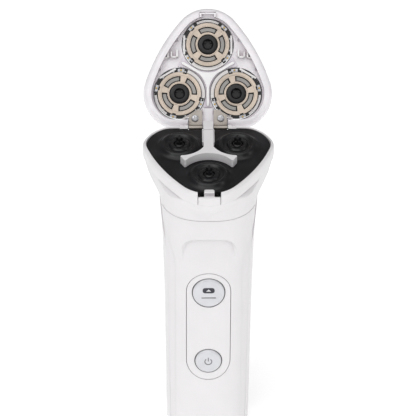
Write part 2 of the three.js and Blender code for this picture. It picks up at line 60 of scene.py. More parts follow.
def centre(head):
    """The middle of a shaving head, in the head's frame."""
    a = math.radians(HEADS[head])
    return Vector((HEAD_RING * math.cos(a), MIDDLE + HEAD_RING * math.sin(a), 0))


def smooth(t):
    """0 to 1 with a soft start and end."""
    t = min(max(t, 0), 1)
    return t * t * (3 - 2 * t)


def along(table, z):
    """A smooth curve through (z, value) pairs."""
    if z <= table[0][0]:
        return table[0][1]
    for i in range(len(table) - 1):
        (z0, v0), (z1, v1) = table[i], table[i + 1]
        if z <= z1:
            before = table[i - 1] if i else table[i]
            after = table[i + 2] if i + 2 < len(table) else table[i + 1]
            m0 = (v1 - before[1]) / (z1 - before[0])
            m1 = (after[1] - v0) / (after[0] - z0)
            t, h = (z - z0) / (z1 - z0), z1 - z0
            return (v0 * (1 + 2 * t) * (1 - t) ** 2 + m0 * h * t * (1 - t) ** 2
                    + v1 * t * t * (3 - 2 * t) + m1 * h * t * t * (t - 1))
    return table[-1][1]


# ---- mesh building ----

def mesh_from(points, faces):
    made = bpy.data.meshes.new("shape")
    made.from_pydata([tuple(p) for p in points], [], faces)
    work = bmesh.new()
    work.from_mesh(made)
    bmesh.ops.remove_doubles(work, verts=work.verts, dist=1e-4)
    bmesh.ops.recalc_face_normals(work, faces=work.faces)
    work.to_mesh(made)
    work.free()
    return made


def loft(rings):
    """A closed skin over rings of equally many points."""
    n = len(rings[0])
    faces = []
    for r in range(len(rings) - 1):
        for i in range(n):
            j = (i + 1) % n
            faces.append((r * n + i, r * n + j, (r + 1) * n + j, (r + 1) * n + i))
    last = (len(rings) - 1) * n
    faces.append(tuple(reversed(range(n))))
    faces.append(tuple(range(last, last + n)))
    return mesh_from([p for ring in rings for p in ring], faces)


def turned(pairs, sides=96):
    """A turned part around z; a profile off the axis is closed on itself."""
    points, faces, rows = [], [], []
    for r, z in pairs:
        if r < 1e-6:
            rows.append([len(points)] * sides)
            points.append((0, 0, z))
        else:
            rows.append(list(range(len(points), len(points) + sides)))
            points += [(r * math.cos(2 * math.pi * i / sides), r * math.sin(2 * math.pi * i / sides), z)
                       for i in range(sides)]
    closed = pairs[0][0] > 0
    for k in range(len(rows) - (0 if closed else 1)):
        a, b = rows[k], rows[(k + 1) % len(rows)]
        for i in range(sides):
            j = (i + 1) % sides
            corner = list(dict.fromkeys((a[i], a[j], b[j], b[i])))
            if len(corner) > 2:
                faces.append(tuple(corner))
    return mesh_from(points, faces)


def prism(outline, low, high):
    return loft([[(x, y, z) for x, y in outline] for z in (low, high)])


def box(x0, x1, y0, y1, z0, z1):
    return prism([(x0, y0), (x1, y0), (x1, y1), (x0, y1)], z0, z1)


def rod(radius, low, high, x=0, y=0, sides=48):
    return shift(turned([(0, low), (radius, low), (radius, high), (0, high)], sides), x, y)


def move(shape, matrix):
    shape.transform(matrix)
    return shape


def turn(shape, degrees, axis="Z"):
    return move(shape, Matrix.Rotation(math.radians(degrees), 4, axis))


def shift(shape, x, y, z=0):
    return move(shape, Matrix.Translation((x, y, z)))


def across(radius, low, high, sides=32):
    """A rod along x from low to high."""
    return turn(rod(radius, low, high, sides=sides), 90, "Y")


def combine(shape, others, how):
    """A boolean of one shape with several others."""
    if not others:
        return shape
    body = bpy.data.objects.new("body_shape", shape)
    bpy.context.scene.collection.objects.link(body)
    tools = []
    for other in others:
        tool = bpy.data.objects.new("tool_shape", other)
        bpy.context.scene.collection.objects.link(tool)
        step = body.modifiers.new("step", "BOOLEAN")
        step.operation, step.object, step.solver = how, tool, "EXACT"
        tools.append(tool)
    bpy.context.view_layer.update()
    done = bpy.data.meshes.new_from_object(body.evaluated_get(bpy.context.evaluated_depsgraph_get()))
    for used in [body] + tools:
        bpy.data.objects.remove(used, do_unlink=True)
    return done


def cut(shape, *tools):
    return combine(shape, tools, "DIFFERENCE")


def join(shape, *others):
    return combine(shape, others, "UNION")


def gather(*shapes):
    """Several shapes in one mesh, left as separate shells."""
    work = bmesh.new()
    for shape in shapes:
        work.from_mesh(shape)
    made = bpy.data.meshes.new("shape")
    work.to_mesh(made)
    work.free()
    return made


def rounded(points, radius, steps=6):
    """A closed outline with its corners rounded by up to the given radius."""
    out = []
    for i, p in enumerate(points):
        p, a, b = Vector(p), Vector(points[i - 1]), Vector(points[(i + 1) % len(points)])
        reach = min(radius, (a - p).length * 0.49, (b - p).length * 0.49)
        start, end = p + (a - p).normalized() * reach, p + (b - p).normalized() * reach
        for k in range(steps + 1):
            t = k / steps
            out.append(tuple(start * (1 - t) ** 2 + p * 2 * t * (1 - t) + end * t * t))
    return out


def soft_box(x0, x1, y0, y1, z0, z1, radius=0.3):
    return prism(rounded([(x0, y0), (x1, y0), (x1, y1), (x0, y1)], radius), z0, z1)


def piece(name, shape, place, finish, body, *nodes, bevel=0.0, angle=35, slot=None):
    """A finished piece of the object, standing for CAD nodes."""
    shape.transform(Matrix.Scale(0.001, 4) @ place)
    shape.name = name
    shape.materials.clear()
    shape.materials.append(MATERIAL[finish])
    obj = bpy.data.objects.new(name, shape)
    bpy.context.scene.collection.objects.link(obj)
    for face in shape.polygons:
        face.use_smooth = True
    shape.set_sharp_from_angle(angle=math.radians(angle))
    if bevel:
        edge = obj.modifiers.new("edges", "BEVEL")
        edge.width, edge.segments, edge.limit_method = bevel * 0.001, 3, "ANGLE"
        edge.angle_limit, edge.harden_normals, edge.use_clamp_overlap = math.radians(40), True, True
    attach(obj, body)
    if nodes:
        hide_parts(*nodes)
    return obj


# ---- materials ----

MATERIAL = {}


def node(tree, kind, **inputs):
    made = tree.nodes.new(kind)
    for key, value in inputs.items():
        key = key.replace("_", " ")
        if isinstance(value, bpy.types.NodeSocket):
            tree.links.new(value, made.inputs[key])
        else:
            made.inputs[key].default_value = value
    return made


def blend_colour(tree, share, a, b, mode="MIX"):
    made = tree.nodes.new("ShaderNodeMix")
    made.data_type, made.blend_type = "RGBA", mode
    for index, value in ((0, share), (6, a), (7, b)):
        if isinstance(value, bpy.types.NodeSocket):
            tree.links.new(value, made.inputs[index])
        else:
            made.inputs[index].default_value = value if index == 0 else (*value, 1)
    return made.outputs[2]


def span(tree, value, low, high, to_low, to_high):
    made = node(tree, "ShaderNodeMapRange", Value=value)
    for key, amount in (("From Min", low), ("From Max", high), ("To Min", to_low), ("To Max", to_high)):
        made.inputs[key].default_value = amount
    return made.outputs[0]


def edge_mask(tree, rounding):
    """1 on edges worn by handling: where the rounded normal leaves the true one."""
    plain = tree.nodes.new("ShaderNodeNewGeometry")
    meet = tree.nodes.new("ShaderNodeVectorMath")
    meet.operation = "DOT_PRODUCT"
    tree.links.new(rounding.outputs[0], meet.inputs[0])
    tree.links.new(plain.outputs["Normal"], meet.inputs[1])
    return span(tree, meet.outputs["Value"], 0.995, 0.86, 0, 1)


def finish_of(name, colour, rough, spread=0.05, metal=0.0, grain=900, bump=0.02, wear=(0.95, 0.94, 0.93),
              worn=0.15, shade=None, tone=0.04, coat=0.0, clear=0.0, brushed=None, round_mm=0.12,
              specular=0.5):
    """A procedural finish: colour drift, painted shade in corners and creases, worn edges, uneven gloss and a
    fine grain.
    """
    made = bpy.data.materials.new(name)
    made.use_nodes = True
    tree = made.node_tree
    shader = tree.nodes["Principled BSDF"]
    where = tree.nodes.new("ShaderNodeTexCoord").outputs["Object"]
    if brushed:
        stretch = node(tree, "ShaderNodeMapping", Vector=where)
        stretch.inputs["Scale"].default_value = brushed
        where_grain = stretch.outputs[0]
    else:
        where_grain = where
    cloud = node(tree, "ShaderNodeTexNoise", Vector=where, Scale=70.0, Detail=3.0, Roughness=0.6)
    fine = node(tree, "ShaderNodeTexNoise", Vector=where_grain, Scale=float(grain), Detail=4.0,
                Roughness=0.65)
    rounding = node(tree, "ShaderNodeBevel", Radius=round_mm * 0.001)
    rounding.samples = 4
    darker = tuple(max(c * (1 - tone * 2.2), 0) for c in colour)
    lighter = tuple(min(c * (1 + tone), 1) for c in colour)
    base = blend_colour(tree, span(tree, cloud.outputs[0], 0.35, 0.65, 0, 1), darker, lighter)
    # painted shade: the colour darkens towards the shade colour where ambient occlusion finds nearby
    # surfaces, in corners and creases
    near = node(tree, "ShaderNodeAmbientOcclusion", Distance=0.003)
    near.samples = 6
    corner = span(tree, near.outputs["AO"], 0.25, 0.9, 0.75, 0)
    base = blend_colour(tree, corner, base, shade or tuple(c * 0.55 for c in colour))
    edges = edge_mask(tree, rounding)
    patchy = span(tree, fine.outputs[0], 0.4, 0.6, 0, 1)
    both = tree.nodes.new("ShaderNodeMath")
    both.operation = "MULTIPLY"
    tree.links.new(edges, both.inputs[0])
    tree.links.new(patchy, both.inputs[1])
    amount = span(tree, both.outputs[0], 0, 1, 0, worn)
    base = blend_colour(tree, amount, base, wear)
    tree.links.new(base, shader.inputs["Base Color"])
    gloss = span(tree, cloud.outputs[0], 0.3, 0.7, rough - spread, rough + spread)
    tree.links.new(gloss, shader.inputs["Roughness"])
    relief = node(tree, "ShaderNodeBump", Height=fine.outputs[0], Normal=rounding.outputs[0], Strength=bump,
                  Distance=0.0002)
    tree.links.new(relief.outputs[0], shader.inputs["Normal"])
    shader.inputs["Metallic"].default_value = metal
    shader.inputs["Coat Weight"].default_value = coat
    shader.inputs["Coat Roughness"].default_value = 0.08
    shader.inputs["Specular IOR Level"].default_value = specular
    if clear:
        shader.inputs["Subsurface Weight"].default_value = clear
        shader.inputs["Subsurface Radius"].default_value = (0.0012, 0.001, 0.001)
    MATERIAL[name] = made


finish_of("white_gloss", (0.78, 0.765, 0.775), 0.34, 0.05, shade=(0.50, 0.47, 0.50), bump=0.015, coat=0.25,
          tone=0.008)
finish_of("white_inner", (0.84, 0.815, 0.84), 0.35, 0.05, shade=(0.52, 0.45, 0.50), bump=0.04, coat=0.2,
          tone=0.03, clear=0.15)
finish_of("white_clip", (0.88, 0.87, 0.87), 0.35, 0.05, shade=(0.5, 0.42, 0.40), tone=0.02)
finish_of("black_gloss", (0.007, 0.007, 0.0085), 0.335, 0.045, wear=(0.10, 0.10, 0.11), worn=0.5, bump=0.05,
          tone=0.3, shade=(0.001, 0.001, 0.0015), specular=0.38)
finish_of("button_silver", (0.66, 0.665, 0.69), 0.35, 0.05, metal=0.15, wear=(0.9, 0.9, 0.92), worn=0.5,
          bump=0.05, coat=0.3, tone=0.03)
finish_of("ring_dark", (0.08, 0.08, 0.085), 0.4, 0.08, wear=(0.3, 0.3, 0.3), tone=0.1)
finish_of("mark_grey", (0.20, 0.20, 0.21), 0.45, 0.06, tone=0.08, wear=(0.4, 0.4, 0.4))
finish_of("badge_dark", (0.035, 0.035, 0.05), 0.4, 0.06, tone=0.1, wear=(0.3, 0.3, 0.3))
finish_of("badge_light", (0.7, 0.7, 0.72), 0.4, 0.06, tone=0.05)
finish_of("steel", (0.50, 0.50, 0.52), 0.36, 0.07, metal=1.0, grain=1400, brushed=(1, 1, 8), bump=0.12,
          wear=(0.85, 0.85, 0.86), worn=0.6, shade=(0.12, 0.11, 0.11), tone=0.06)
# painted shade: a darker copy of the steel, for the cutter parts deep inside the heads
finish_of("steel_painted_shade", (0.30, 0.29, 0.28), 0.37, 0.08, metal=1.0, grain=1400, bump=0.12,
          wear=(0.8, 0.8, 0.8), worn=0.6, shade=(0.05, 0.045, 0.04), tone=0.1)
# painted shade: a lilac-grey copy of the white plastic, standing for the shaded slopes beside the lid's inner
# frame
finish_of("lilac_painted_shade", (0.72, 0.68, 0.74), 0.36, 0.06, shade=(0.34, 0.27, 0.33), bump=0.04, coat=0.2,
          tone=0.03, clear=0.1)
finish_of("leaf_steel", (0.36, 0.33, 0.30), 0.38, 0.08, metal=1.0, grain=1800, brushed=(1, 6, 6), bump=0.15,
          wear=(0.8, 0.77, 0.72), worn=0.7, shade=(0.10, 0.07, 0.05), tone=0.12)
finish_of("beige_metal", (0.54, 0.46, 0.385), 0.37, 0.08, metal=0.7, grain=2200, bump=0.12,
          wear=(0.92, 0.87, 0.8), worn=0.7, shade=(0.16, 0.11, 0.08), tone=0.10)
finish_of("brass", (0.62, 0.45, 0.18), 0.37, 0.07, metal=1.0, bump=0.1, wear=(0.9, 0.75, 0.4), worn=0.5,
          tone=0.08)
finish_of("grey_plastic", (0.16, 0.165, 0.175), 0.5, 0.08, bump=0.1, tone=0.06, wear=(0.3, 0.3, 0.3))
finish_of("board_green", (0.02, 0.13, 0.05), 0.42, 0.08, bump=0.12, tone=0.12, wear=(0.3, 0.4, 0.3))
finish_of("battery_sleeve", (0.03, 0.12, 0.36), 0.35, 0.07, bump=0.08, tone=0.08, wear=(0.3, 0.4, 0.6))
finish_of("gear_nylon", (0.72, 0.70, 0.64), 0.45, 0.07, bump=0.08, tone=0.04, clear=0.1)


# ---- outlines ----

def lobe(angle, radius, z, bulge=1.35):
    """A point on the three-lobed outline, which has slightly bulging sides and a flattened back."""
    reach = (bulge ** 2 + HALF_PITCH ** 2) / (2 * bulge)
    lean = math.degrees(math.asin(HALF_PITCH / reach))
    corner = round((angle + 90) / 120) * 120 - 90
    off = angle - corner
    side = math.radians(corner + math.copysign(60, off))
    if abs(off) > 60 - lean:
        back = HEAD_RING / 2 - math.sqrt(reach ** 2 - HALF_PITCH ** 2)
        cx, cy, r = back * math.cos(side), back * math.sin(side), radius + reach
    else:
        out = math.radians(corner)
        cx, cy, r = HEAD_RING * math.cos(out), HEAD_RING * math.sin(out), radius
    a = math.radians(angle)
    limit = radius - RIM_R
    y = MIDDLE + cy + r * math.sin(a)
    if y > limit - 1.5:
        y = limit - 1.5 + 1.5 * math.tanh((y - limit + 1.5) / 1.5)
    return Vector((cx + r * math.cos(a), y, z))


def soft(angle, half, front, back):
    """A point on the rounded-square section of the handle."""
    power = 2 / 2.5
    c, s = math.cos(math.radians(angle)), math.sin(math.radians(angle))
    x = half * math.copysign(abs(c) ** power, c)
    y = (front + back) / 2 + (back - front) / 2 * math.copysign(abs(s) ** power, s)
    return x, y


AROUND = 240
ANGLES = [360 * i / AROUND for i in range(AROUND)]


def lobes(radius, z):
    return [lobe(angle, radius, z) for angle in ANGLES]


def lobe_block(radius, low, high):
    return loft([lobes(radius, low), lobes(radius, high)])


def at_heads(make):
    return [move(make(), Matrix.Translation(centre(head))) for head in HEADS]


# ---- tray ----

SIDE_SHARE = [(-14.5, 1), (-12.6, 0.93), (-11, 0.76), (-9.6, 0.5), (-8, 0.26), (-6.2, 0.09), (-4.4, 0),
              (-2.9, 0)]
RIM_EDGE = [(-14.5, 0), (-9, 0), (-7, 0.5), (-4.2, 0.8), (-3.0, 0.75), (-2.75, 0.3), (-2.4, 0.05),
            (-1.6, 0.0), (1.0, 0.0), (1.9, 0.08), (2.7, 0.3), (3.2, 0.65), (3.5, 1.1)]


def straight(table, z):
    """A line of straight stretches through (z, value) pairs."""
    for (z0, v0), (z1, v1) in zip(table, table[1:]):
        if z <= z1:
            return v0 + (v1 - v0) * max(z - z0, 0) / (z1 - z0)
    return table[-1][1]


def chin_share(angle, w, x):
    """How far the underside has run from lobes to neck: a V-shaped fold in front, a bowl elsewhere."""
    off = abs((angle + 90 + 180) % 360 - 180)
    fold = min(-11.6 + 0.5 * abs(x), -4.6)
    front = min(max((-2.9 - w) / (-2.9 - fold), 0), 1)
    bowl = straight(SIDE_SHARE, w) if w < -2.9 else 0
    t = smooth((off - 55) / 30)
    return front * (1 - t) + bowl * t


def rim_drop(y):
    """How far the parting line between tray and lid steps down towards the hinge."""
    return RIM_DROP * smooth((y + 19) / 11)


def tray_ring(w):
    """One ring of the outside; at the back the rim steps down to the deck."""
    ring = []
    for angle in ANGLES:
        top = lobe(angle, RIM_R - straight(RIM_EDGE, w), w)
        x, y = soft(angle, NECK_HALF, NECK_FRONT, NECK_BACK)
        point = top.lerp(Vector((x, y, w)), chin_share(angle, w, x))
        if w > 0:
            point.z = w - rim_drop(point.y) * w / RIM_TOP
        ring.append(point)
    return ring


def tray():
    """The white head base: a bowl lofted up to a rolled rim, hollow, with the hinge lugs."""
    heights = [-14.55, -14, -13.3, -12.6, -12, -11.5, -11, -10.5, -10, -9.5, -9, -8.5, -8, -7.5, -7, -6.5,
               -6, -5.5, -5, -4.6, -4.2, -3.8, -3.4, -3.05, -2.9, -2.75, -2.6, -2.4, -2, -1.6, -0.8, 0,
               1, 1.5, 1.9, 2.3, 2.7, 3.0, 3.2, 3.4, 3.5]
    outer = loft([tray_ring(w) for w in heights])
    floor = join(lobe_block(12, -9.4, -1), lobe_block(8.4, -13, -9))
    inner = join(floor, lobe_block(RIM_INNER, -2, 6))
    blocks = [box(a, b, -2.2, -0.15, -1, 1.1) for a, b in ((9.6, 13.4), (-13.4, -9.6))]
    lugs = [join(across(1.3, a, b), box(a, b, -1.6, 0.6, -2, -0.1))
            for a, b in ((-2.2, 2.2), (9.5, 11), (-11, -9.5))]
    shape = cut(outer, inner, *[box(a, b, -2.2, 2, -1.7, 5) for a, b in ((2.3, 9.4), (-9.4, -2.3))],
                box(-2.4, 2.4, -1.7, 2, 1.3, 5), box(-5.3, 5.3, -60, -52, -2.9, 5))
    shape = join(shape, *lugs, *blocks)
    return cut(shape, across(0.72, -11.4, 11.4))


piece("tray", tray(), HEAD, "white_gloss", "body", "head_base", bevel=0.12)


# ---- deck, divider, release button ----

DOME = [(11.7, -1.4), (11.7, 1.0), (11.1, 1.02), (10.5, 1.12), (9.9, 1.4), (9.4, 1.8), (9.0, 2.3),
        (8.7, 2.75), (8.4, 3.05), (8.0, 3.2), (7.4, 3.2), (7.0, 3.0), (6.7, 2.5), (6.3, 2.25), (5.0, 2.15),
        (4.75, 2.4), (4.5, 2.75), (4.2, 2.85), (3.0, 2.9), (2.7, 2.75), (2.7, 1.3), (5.6, 0.9), (6.6, -0.4),
        (10.4, -1.4)]


def deck():
    """The black plate under the lid with a stepped dome round each spindle."""
    plate = cut(lobe_block(RIM_INNER - 0.25, -1.4, DECK_TOP), *at_heads(lambda: rod(11.5, -3, 2, sides=96)))
    domed = join(plate, *at_heads(lambda: turned(DOME, 120)))
    return cut(domed, box(-9.4, 9.4, -2.9, 1, -2, 2), box(-5, 5, -56, -51.1, -4, 2))


piece("chamber_plate", deck(), HEAD, "black_gloss", "body", "chamber_deck", bevel=0.08)


def star(width, rear, side, low, high, circle, least=0.2, widen=True, slant=0.7):
    """A Y whose arms run between three circles on the heads, drawn as one outline."""
    outline = []
    near = (HEAD_RING - circle) / 2

    def half(t, length):
        off = t - HEAD_RING / 2
        wide = HALF_PITCH - math.sqrt(max(circle ** 2 - off ** 2, 0)) if widen or off < 0 else least
        return max(min(max(wide, least), width / 2) - max(t - length + slant, 0), 0.1)

    for angle, length in ((90, rear), (210, side), (330, side)):
        a = math.radians(angle)
        steps = [near + (length - near) * k / 40 for k in range(41)]
        edge = [(t, -half(t, length)) for t in steps] + [(t, half(t, length)) for t in reversed(steps[1:])]
        c, s = math.cos(a), math.sin(a)
        outline += [(t * c - v * s, MIDDLE + t * s + v * c) for t, v in edge]
    return prism(outline, low, high)


def divider():
    """The white Y on the deck; a thin groove crosses its rear arm."""
    shape = star(12, 13, 14, DECK_TOP + 0.25, 5.3, 12.6)
    arm = join(box(-2.3, 2.3, -22.2, -8.9, 1.6, 5.3), box(-2.3, 2.3, -8.6, -2, 1.6, 5.3),
               box(-1.9, 1.9, -9.5, -8, 1.6, 4.9))
    return join(shape, arm, box(-2.9, 2.9, -16, -6, DECK_TOP + 0.25, 3.2))


piece("divider", divider(), HEAD, "white_gloss", "body", "centre_divider", bevel=0.6)


def release():
    """The release button in the front rim, with the tab that holds the lid."""
    profile = ((-2.7, 0.3), (-2.4, 0.03), (0.3, 0.0), (0.8, 0.1), (1.15, 0.35), (1.3, 0.7))
    front = loft([lobes(RIM_R - inset, w) for w, inset in profile])
    face = combine(front, [box(-5.05, 5.05, -60, -55.2, -3, 2)], "INTERSECT")
    tab = prism(rounded([(-2.35, 0.2), (2.35, 0.2), (2.35, 3.5), (-2.35, 3.5)], 0.9), 52.6, 53.6)
    tab = turn(tab, 90, "X")
    return join(face, tab, box(-2.35, 2.35, -55.6, -52.8, 0.2, 1.25), box(-2.2, 2.2, -54.4, -53.3, 2.8, 3.5),
                box(-2.3, 2.3, -53.6, -52.9, -1.8, 0.6))


piece("release", release(), HEAD, "white_gloss", "release_button", "release_button", bevel=0.15)


# ---- spindles ----

def spindle():
    """A square shaft, a collar and a cross-shaped tip."""
    collar = [(0, 0), (2.3, 0), (2.3, 2.4), (2.1, 2.7), (1.6, 2.9), (1.45, 3.4), (1.45, 4.5), (1.3, 4.7),
              (0, 4.7)]
    tip = [soft_box(-a, a, -b, b, 4.2, 6.5, 0.2) for a, b in ((1.6, 0.5), (0.5, 1.6))]
    return join(soft_box(-1.5, 1.5, -1.5, 1.5, -3.4, 0.4), turned(collar, 48), *tip)


for head in HEADS:
    piece("spindle_" + head, spindle(), HEAD @ Matrix.Translation(centre(head)), "black_gloss",
          "drive_spindle_" + head, "drive_spindle_" + head, bevel=0.12)


# ---- lid ----

def lid():
    """The lid, drawn shut: a wide rolled rim, a floor round the three wells and the room for the hinge."""
    outer = [(14.0, 3.75), (15.0, 3.85), (15.8, 4.15), (16.4, 4.7), (16.85, 5.6), (17.1, 6.6), (17.2, 7.6),
             (17.2, 8.6), (16.95, 9.9), (16.45, 11.1), (15.7, 12.4), (14.9, 13.3), (14.0, 13.8)]
    rings = [lobes(radius, w) for radius, w in outer]
    for ring in rings:
        for point in ring:
            point.z -= rim_drop(point.y) * max(1 - (point.z - 3.75) / 3, 0)
    shape = cut(loft(rings), loft([lobes(r, w) for r, w in ((13.3, 0), (13.3, 9.6), (13.1, 12))]))
    blocks = [box(a, b, -6.5, -0.9, 4.9, 12.4) for a, b in ((2, 9), (-9, -2))]
    floor = lobe_block(13.5, 7.4, 8.3)
    shape = join(shape, floor, *blocks, box(-2.3, 2.3, -9.5, -0.9, 5.7, 12.4))
    wells = at_heads(lambda: turned([(0, 3), (12.5, 3), (12.5, 8.8), (12, 8.8), (12, 16), (0, 16)], 120))
    cuts = [box(a, b, -9.2, 1, 0, 4.9) for a, b in ((2.4, 9.5), (-9.5, -2.4))]
    dents = [rod(0.8, 7, 8, x, y, 24) for x, y in ((14.9, -42), (-14.9, -42), (23.2, -28), (-23.2, -28))]
    holes = [rod(0.75, 3, 9, SCREW_X * s, SCREW_Y) for s in (-1, 1)]
    room = [box(-3.1, 3.1, -6.7, -1.7, 0, 5.7), box(-3.9, 3.9, -55.2, -52, 3, 7.2)]
    return cut(shape, *room, *wells, *cuts, *dents, *holes)


piece("lid_cap", lid(), LID, "white_inner", "lid", "lid_shell", bevel=0.12)


def lid_ribs():
    """The U-shaped ribs in the lid's side pockets."""
    ribs = []
    for s in (-1, 1):
        for x0, x1, y0, y1 in ((14.2, 15, -37.4, -33.6), (14.2, 17.6, -34.2, -33.6), (17, 17.6, -36.4, -33.6),
                               (18.6, 19.3, -38.6, -33.2), (18.6, 21.2, -33.8, -33.2)):
            ribs.append(box(min(x0 * s, x1 * s), max(x0 * s, x1 * s), y0, y1, 5.4, 7.6))
    return gather(*ribs)


piece("lid_ribs", lid_ribs(), LID, "white_clip", "lid")
piece("inner_frame", star(8.6, 13.8, 14.6, 5.7, 6.7, 13.25, 0.6, False), LID, "white_clip", "lid",
      "retaining_frame")
# painted shade: a wider Y under the white frame, coloured like the shaded slopes beside it
piece("inner_frame_shade_band", star(10.4, 14.2, 15, 6.75, 8.3, 12.8), LID, "lilac_painted_shade", "lid")


def latch():
    """The bracket at the lid tip that the release tab catches."""
    walls = [box(3.4 * s - 0.4, 3.4 * s + 0.4, -54.6, -52.6, 1.9, 7) for s in (-1, 1)]
    return join(box(-3.8, 3.8, -54.6, -54, 1.9, 2.5), *walls)


piece("latch", latch(), LID, "white_inner", "lid", "lid_latch")


def leaf(s):
    """A hinge leaf: plate, web and barrel."""
    outline = [(2.7 * s, -8.6), (5.4 * s, -8.6), (9.1 * s, -6.2), (9.1 * s, 0.3), (2.7 * s, 0.3)]
    plate = prism(rounded(outline, 0.5), 3.9, 4.6)
    x = LEAF_X * s
    web = box(x - 3.2, x + 3.2, -0.35, 0.35, 0.9, 4.6)
    shape = join(shift(across(1.25, -3.2, 3.2), x, 0), plate, web)
    return cut(shape, shift(across(0.7, -4, 4), x, 0), rod(0.8, 3, 6, SCREW_X * s, SCREW_Y))


def screw(s):
    """A round-headed cross screw."""
    head = turned([(0, -0.35), (0.9, -0.33), (1.4, -0.18), (1.68, 0.02), (1.7, 0.15), (0, 0.15)], 48)
    shape = join(head, rod(0.6, 0, 4))
    shape = cut(shape, box(-1.05, 1.05, -0.2, 0.2, -1, -0.02), box(-0.2, 0.2, -1.05, 1.05, -1, -0.02))
    return shift(turn(shape, 20 * s), SCREW_X * s, SCREW_Y, 3.7)


for side, s in (("left", -1), ("right", 1)):
    piece("leaf_" + side, leaf(s), LID, "leaf_steel", "lid", "hinge_leaf_" + side, bevel=0.1)
    piece("screw_" + side, screw(s), LID, "steel", "lid", "leaf_screw_" + side, bevel=0.05)
    piece("pin_" + side, shift(across(0.6, -5, 5), 5.8 * s, 0), HEAD, "steel", "body", "hinge_pin_" + side)


# ---- shaving units ----

def arc(inner, outer, start, end, steps=14):
    """The outline of a part of a ring, angles in degrees."""
    a = [math.radians(start + (end - start) * i / steps) for i in range(steps + 1)]
    outside = [(outer * math.cos(t), outer * math.sin(t)) for t in a]
    return outside + [(inner * math.cos(t), inner * math.sin(t)) for t in reversed(a)]


def guard():
    """The steel foil cap with a ring of leaning slots."""
    profile = [(11.5, 8.5), (11.5, 14.2), (11.3, 14.9), (10.6, 15.45), (9.95, 15.5), (6.6, 15.5),
               (6.0, 15.35), (5.5, 15.05), (0, 15), (0, 14.7), (9.9, 14.7), (10.5, 14.4), (10.7, 13.8),
               (10.7, 8.5)]
    slot = [(6.9, -0.17), (9.8, 0.12), (9.8, 0.42), (6.9, 0.13)]
    return cut(turned(profile, 120), *[turn(prism(slot, 14, 17), i * 10) for i in range(36)])


QUARTERS = (0, 90, 180, 270)
TAB_ANGLES = (44, -44, 124, -124)


def retainer():
    """The beige ring that holds the inner cutter, with four long slots."""
    plate = turned([(4.75, 5.5), (4.9, 5.35), (5.4, 5.35), (5.5, 5.5), (8.8, 5.5), (8.9, 5.4), (10.2, 5.4),
                    (10.3, 5.5), (10.3, 6.2), (4.75, 6.2)], 96)
    slots = [prism(arc(5.8, 8.4, a - 34, a + 34), 5, 7) for a in QUARTERS]
    notches = [turn(box(9.7, 11, -0.9, 0.9, 5, 7), a) for a in (45, 135, 225, 315)]
    return cut(plate, *slots, *notches)


def slot_shade_disc():
    """A black disc behind the retainer, painted shade that shows through its slots."""
    return turned([(4.8, 7.4), (11.9, 7.4), (11.9, 7.7), (4.8, 7.7)], 96)


def back_pads():
    """Steel pads in the slots of the retainer."""
    return gather(*[prism(arc(6.3, 7.9, a - 29, a + 29), 6.35, 6.85) for a in QUARTERS])


def cage():
    """The white cage: two arcs and two straight bars round the retainer."""
    arcs = [prism(arc(10.75, 11.8, -27, 27), 6.9, 8.2), prism(arc(10.6, 12.2, 140, 220), 6.9, 8.2)]
    bars = [turn(soft_box(10.75, 11.7, -4.5, 4.5, 6.9, 8.2, 0.3), a) for a in (90, -90)]
    return gather(*arcs, *bars)


def corner_plates():
    """Bent steel tabs between the white bars."""
    tabs = [prism(arc(10.5, 11.9, a - 8, a + 8), 7.0, 7.3) for a in TAB_ANGLES]
    teeth = [prism(arc(10.5, 11.1, a - 2.2, a + 2.2), 6.95, 7.3) for a in range(-165, 180, 30)]
    return gather(*tabs, *teeth)


def rivets():
    """A small brass rivet on each bent tab."""
    profile = [(0, 6.75), (0.35, 6.8), (0.5, 6.95), (0.5, 7.35), (0, 7.35)]
    return gather(*[turn(shift(turned(profile, 24), 11.3, 0), a) for a in TAB_ANGLES])


def hub():
    """The black hub with the cross-shaped mouth for the spindle."""
    shape = turned([(0, 4.8), (3.8, 4.8), (4.3, 4.95), (4.55, 5.3), (4.55, 8.1), (2.4, 8.1), (2.4, 10),
                    (0, 10)], 64)
    mouth = turned([(0, 4.5), (2.9, 4.5), (2.6, 4.9), (1.9, 5.9), (0, 5.9)], 48)
    return cut(shape, mouth, box(-1.95, 1.95, -0.9, 0.9, 4.5, 8.6), box(-0.9, 0.9, -1.95, 1.95, 4.5, 8.6))


def blades():
    """The inner cutter: a disc with upright blades."""
    disc = cut(rod(9.6, 8.4, 9.2, sides=80), rod(2.7, 8, 10))
    fins = [turn(box(6.6, 9.4, -0.3, 0.3, 9, 14.4), 40 * i) for i in range(9)]
    return join(disc, *fins)


for head, angle in HEADS.items():
    place = LID @ Matrix.Translation(centre(head)) @ Matrix.Rotation(math.radians(angle), 4, "Z")
    plain = LID @ Matrix.Translation(centre(head))
    piece("guard_" + head, guard(), plain, "steel", "head_" + head, "guard_cap_" + head)
    piece("retainer_" + head, retainer(), place, "beige_metal", "head_" + head, "cutter_retainer_" + head,
          bevel=0.06)
    piece("cage_" + head, cage(), place, "white_clip", "head_" + head, "cutter_cage_" + head)
    # painted shade: the black disc stands for the shade seen through the retainer's slots
    piece("slot_shade_disc_" + head, slot_shade_disc(), place, "black_gloss", "head_" + head)
    # painted shade: the pads in the slots take the darker copy of the steel
    piece("back_pads_" + head, back_pads(), place, "steel_painted_shade", "head_" + head)
    piece("corner_plates_" + head, corner_plates(), place, "steel", "head_" + head)
    piece("rivets_" + head, rivets(), place, "brass", "head_" + head)
    piece("hub_" + head, hub(), plain, "black_gloss", "cutter_" + head, "cutter_hub_" + head, bevel=0.06)
    # painted shade: the blades take the darker copy of the steel
    piece("blades_" + head, blades(), plain, "steel_painted_shade", "cutter_" + head, "inner_cutter_" + head)


# ---- handle ----

